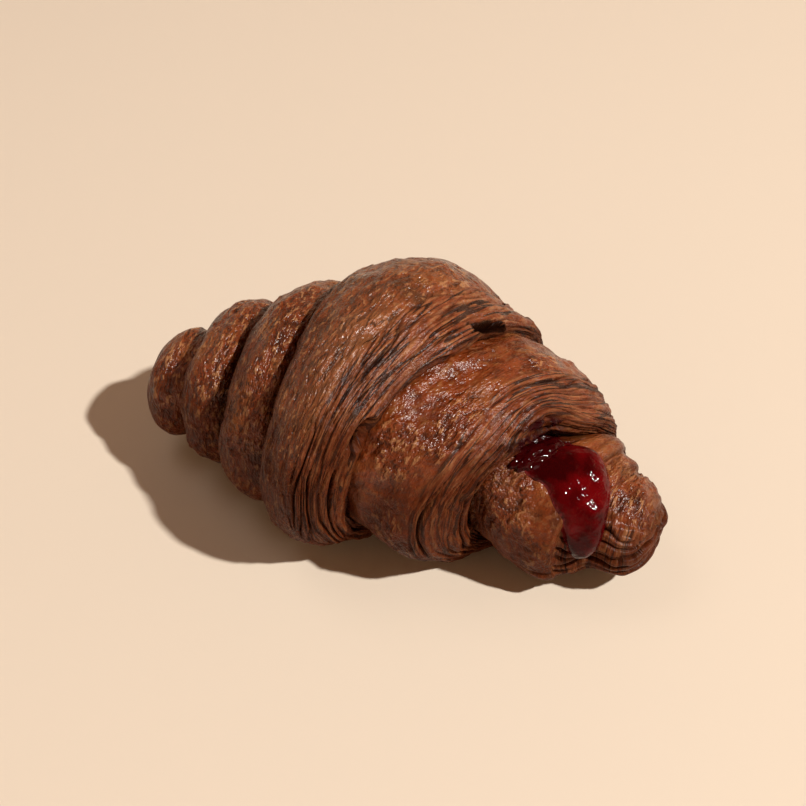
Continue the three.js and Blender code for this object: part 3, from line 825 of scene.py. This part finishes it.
class CroissantColours(bpy.types.PropertyGroup):
    """Colours of the croissant and its stage."""

    brown: colour_setting("Brown", "The skin where it is baked evenly", "7F3714")
    # dark is also painted shade where the skin faces down
    dark: colour_setting("Dark", "The skin where it is baked darkest", "351304")
    ochre: colour_setting("Ochre", "The mottling where the skin is thin", "8F592B")
    # layer also lightens the crown of the widest wrap as a painted sheen
    layer: colour_setting("Layer", "Edges of single layers", "B27B4F")
    # groove is painted shade: near black in the cracks, slot, hollow and seams
    groove: colour_setting("Groove", "Between the layers", "180804")
    stain: colour_setting("Stain", "Crust soaked with jam", "2A0205")
    jam: colour_setting("Jam", "The jam where light comes through it", "5E0307")
    jam_dark: colour_setting("Dark jam", "The jam where it is thickest", "300103")
    rim: colour_setting("Rim", "The thin rim of the jam", "A8363A")
    paper: colour_setting("Paper", "The floor", "EADDCA")
    surround: colour_setting("Surround", "The dim light from all round", "FFA05E")


class StageSettings(bpy.types.PropertyGroup):
    """Where the camera and the light are."""

    azimuth: bpy.props.FloatProperty(
        name="Azimuth", description="Camera's direction round the croissant",
        default=math.radians(25.5), unit="ROTATION")
    elevation: bpy.props.FloatProperty(
        name="Elevation", description="Camera's height above the horizon",
        default=math.radians(42.0), unit="ROTATION")
    distance: length_setting("Distance", "From the camera to the point that it aims at", 479.0)
    aim: bpy.props.FloatVectorProperty(
        name="Aim", description="The point aimed at, from under the middle of the croissant",
        default=(-15.4 * MM, 34.1 * MM, 0.0), size=3, subtype="TRANSLATION", unit="LENGTH")
    lens: bpy.props.FloatProperty(name="Lens", description="Focal length in mm", default=70.0, unit="CAMERA")
    key_power: bpy.props.FloatProperty(
        name="Key power", description="Power of the key light", default=75.0, unit="POWER")
    key_distance: length_setting("Key distance", "From the key light to the croissant", 2600.0)
    key_size: length_setting("Key size", "Width of the key light", 115.0)
    box_power: bpy.props.FloatProperty(
        name="Soft box power", description="Power of the soft box", default=1.1, unit="POWER")
    box_distance: length_setting("Soft box distance", "From the soft box to the croissant", 1200.0)
    box_size: length_setting("Soft box size", "Width of the soft box", 600.0)


# ---------------------------------------------------------------- operators


class CROISSANT_OT_stage(bpy.types.Operator):
    """Add the camera, the paper sweep and the lights"""

    bl_idname = "croissant.stage"
    bl_label = "Stage"

    def execute(self, context):
        scene, stage = context.scene, context.scene.croissant_stage
        low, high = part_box("croissant")
        middle = Vector(((low.x + high.x) / 2.0, (low.y + high.y) / 2.0, 0.0))

        camera = bpy.data.objects.new("camera", bpy.data.cameras.new("camera"))
        camera.data.lens, camera.data.sensor_width, camera.data.clip_start = stage.lens, 36.0, 0.01
        around, above = stage.azimuth, stage.elevation
        away = Vector((
            math.sin(around) * math.cos(above), -math.cos(around) * math.cos(above), math.sin(above)))
        camera.location = middle + Vector(stage.aim) + away * stage.distance
        camera.rotation_euler = away.to_track_quat("Z", "Y").to_euler()
        scene.collection.objects.link(camera)
        scene.camera = camera

        # a round sheet of paper: flat, then a quarter circle, then straight up as a wall, in metres
        flat, bend, wall = 2.4, 0.8, 2.2
        rise = np.linspace(0.0, math.pi / 2.0, 17)[1:]
        reach = np.concatenate([np.linspace(0.02, flat, 24), flat + bend * np.sin(rise), [flat + bend]])
        height = np.concatenate([np.zeros(24), bend - bend * np.cos(rise), [wall]])
        turn = np.linspace(0.0, TURN, 96, endpoint=False)
        rings = np.stack(np.broadcast_arrays(
            reach[:, None] * np.cos(turn), reach[:, None] * np.sin(turn), height[:, None]), axis=-1)
        points = np.concatenate([[[0.0, 0.0, 0.0]], rings.reshape(-1, 3)])
        steps_out, steps_round = rings.shape[:2]
        column = np.arange(steps_round)
        after = (column + 1) % steps_round
        inner = 1 + np.arange(steps_out - 1)[:, None] * steps_round
        outer = inner + steps_round
        quads = np.stack([inner + column, outer + column, outer + after, inner + after], axis=-1)
        fan = np.stack([0 * column, 1 + column, 1 + after], axis=-1)
        mesh = bpy.data.meshes.new("paper_sweep")
        mesh.from_pydata(points, [], quads.reshape(-1, 4).tolist() + fan.tolist())
        mesh.polygons.foreach_set("use_smooth", np.ones(len(mesh.polygons), bool))
        mesh.materials.append(matt_paper(scene.croissant_colours))
        sweep = bpy.data.objects.new("paper_sweep", mesh)
        scene.collection.objects.link(sweep)

        # the key, small and far, and a soft box on the other side
        for name, towards, far, size, power in (
            ("key_light", Vector((0.88, -0.03, 1.0)), stage.key_distance, stage.key_size, stage.key_power),
            ("soft_box", Vector((-0.47, -0.02, 0.88)), stage.box_distance, stage.box_size, stage.box_power),
        ):
            lamp = bpy.data.lights.new(name, "AREA")
            lamp.shape, lamp.size, lamp.energy, lamp.color = "DISK", size, power, (1.0, 0.95, 0.9)
            light = bpy.data.objects.new(name, lamp)
            light.location = middle + towards.normalized() * far
            light.rotation_euler = towards.to_track_quat("Z", "Y").to_euler()
            scene.collection.objects.link(light)

        world = bpy.data.worlds.new("studio")
        world.use_nodes = True
        background = world.node_tree.nodes["Background"]
        background.inputs["Color"].default_value = tuple(scene.croissant_colours.surround)
        background.inputs["Strength"].default_value = 0.12
        scene.world = world
        scene.view_settings.view_transform = "Standard"
        return {"FINISHED"}


class CROISSANT_OT_crust(bpy.types.Operator):
    """Add the baked crust in one closed skin"""

    bl_idname = "croissant.crust"
    bl_label = "Crust"

    def execute(self, context):
        sizes = context.scene.croissant_sizes
        places, station, length, angle = crust_grid(sizes.rows, sizes.columns)
        points = skin(places, angle)
        outward = normals_of(points)
        relief, masks, grain = crust_relief(sizes, points, outward[..., 2], station, length, angle)
        points = points + outward * relief[..., None]
        points[..., 2] = np.maximum(points[..., 2], 0.0)
        start, end = skin(np.array([0.0, KNOTS[-1]]), np.zeros(1))[:, 0]
        piece = closed_rings("baked_crust", start, points, end, masks, grain)
        piece.data.materials.append(baked_crust(context.scene.croissant_colours))
        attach(piece, BODY)
        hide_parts("croissant")
        return {"FINISHED"}


class CROISSANT_OT_jam(bpy.types.Operator):
    """Add the jam in the tear, and its run over the end of the roll"""

    bl_idname = "croissant.jam"
    bl_label = "Jam"

    def execute(self, context):
        # the run, a curve through its rows: straight across underneath, and swelling above that by the root
        # of one less the cube of the distance from its middle, with a ripple and a rounded end
        rows, columns = 70, 44
        knots = np.arange(len(JAM_RUN), dtype=float)
        weights = spline_weights(knots, np.linspace(0.0, knots[-1], rows))
        left = weights @ np.array([row[0] for row in JAM_RUN])
        right = weights @ np.array([row[1] for row in JAM_RUN])
        height = weights @ np.array([row[2] for row in JAM_RUN])
        flow = np.gradient(left, axis=0) + np.gradient(right, axis=0)
        outward = np.cross(flow, right - left)
        outward /= np.linalg.norm(outward, axis=1, keepdims=True)
        share = np.linspace(0.0, 1.0, columns)[None, :, None]
        line = left[:, None] + (right - left)[:, None] * share
        swell = (1.0 - np.abs(2.0 * share - 1.0) ** 3.0) ** 0.5
        row = np.linspace(0.0, 1.0, rows)
        height = height * np.sqrt(1.0 - np.clip((row - 0.9) / 0.1, 0.0, 1.0) ** 2 * 0.9)
        outer = line + outward[:, None] * height[:, None, None] * swell
        ripple = noise(*(outer[..., part] / 4.5 for part in range(3)), 90, 2)
        outer = outer + outward[:, None] * (0.45 * ripple[..., None] * swell)
        inner = line - outward[:, None] * 2.0
        rings = np.concatenate([inner, outer[:, ::-1]], axis=1)
        start, end = rings[0].mean(axis=0), rings[-1].mean(axis=0)
        # thin only next to its edges, and there only where it lies close to the crust
        thick = 0.3 + 0.7 * smooth(gap_to_crust(outer) + 0.7 * swell[..., 0] ** 2, 0.3, 0.85)
        thick = np.concatenate([np.ones_like(thick), thick[:, ::-1]], axis=1)
        run = closed_rings("jam_run", start, rings, end, {"thick": thick})

        # the jam still in the tear: an ellipsoid along the tear, made lumpy by noise along its radius
        polar = np.linspace(0.0, math.pi, 62)[1:-1, None]
        turn = np.linspace(0.0, TURN, 80, endpoint=False)[None, :]
        ball = np.stack(np.broadcast_arrays(
            -np.cos(polar), np.sin(polar) * np.cos(turn), np.sin(polar) * np.sin(turn)), axis=-1)
        lumps = 1.0 + 0.14 * noise(*(ball[..., part] * 2.6 for part in range(3)), 95, 3)
        radii, middle = np.array(CLOT["radii"]), np.array(CLOT["middle"])
        ball = ball * lumps[..., None] * radii
        along, aside = math.cos(math.radians(CLOT["turned"])), math.sin(math.radians(CLOT["turned"]))
        turned = np.array([[along, aside, 0.0], [-aside, along, 0.0], [0.0, 0.0, 1.0]])
        spun = ball @ turned + middle
        start, end = middle - radii[0] * turned[0], middle + radii[0] * turned[0]
        clot = closed_rings("jam_in_tear", start, spun, end, {"thick": np.full(spun.shape[:2], 1.3)})

        jam = glossy_jam(context.scene.croissant_colours)
        for piece in (run, clot):
            piece.data.materials.append(jam)
            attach(piece, BODY)
        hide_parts("jam_filling")
        return {"FINISHED"}


class CROISSANT_PT_panel(bpy.types.Panel):
    """Lists the croissant's pieces, sizes and colours"""

    bl_label = "Croissant"
    bl_space_type = "VIEW_3D"
    bl_region_type = "UI"
    bl_category = "Croissant"

    def draw(self, context):
        for operator in OPERATORS:
            self.layout.operator(operator.bl_idname)
        for key in GROUPS:
            group = getattr(context.scene, key)
            for name in group.__annotations__:
                self.layout.prop(group, name)


OPERATORS = (CROISSANT_OT_stage, CROISSANT_OT_crust, CROISSANT_OT_jam)
GROUPS = {
    "croissant_sizes": CroissantSizes,
    "croissant_colours": CroissantColours,
    "croissant_stage": StageSettings,
}


def register():
    """Registers the settings, the operators and the panel, and gives the scene one of each group."""
    for group in (*GROUPS.values(), *OPERATORS, CROISSANT_PT_panel):
        bpy.utils.register_class(group)
    for name, group in GROUPS.items():
        setattr(bpy.types.Scene, name, bpy.props.PointerProperty(type=group))


def unregister():
    """Undoes what register did, in reverse."""
    for name in GROUPS:
        delattr(bpy.types.Scene, name)
    for group in (CROISSANT_PT_panel, *reversed(OPERATORS), *reversed(GROUPS.values())):
        bpy.utils.unregister_class(group)


def main():
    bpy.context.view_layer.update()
    register()
    bpy.ops.croissant.stage()
    bpy.ops.croissant.crust()
    bpy.ops.croissant.jam()


if __name__ == "__main__":
    main()
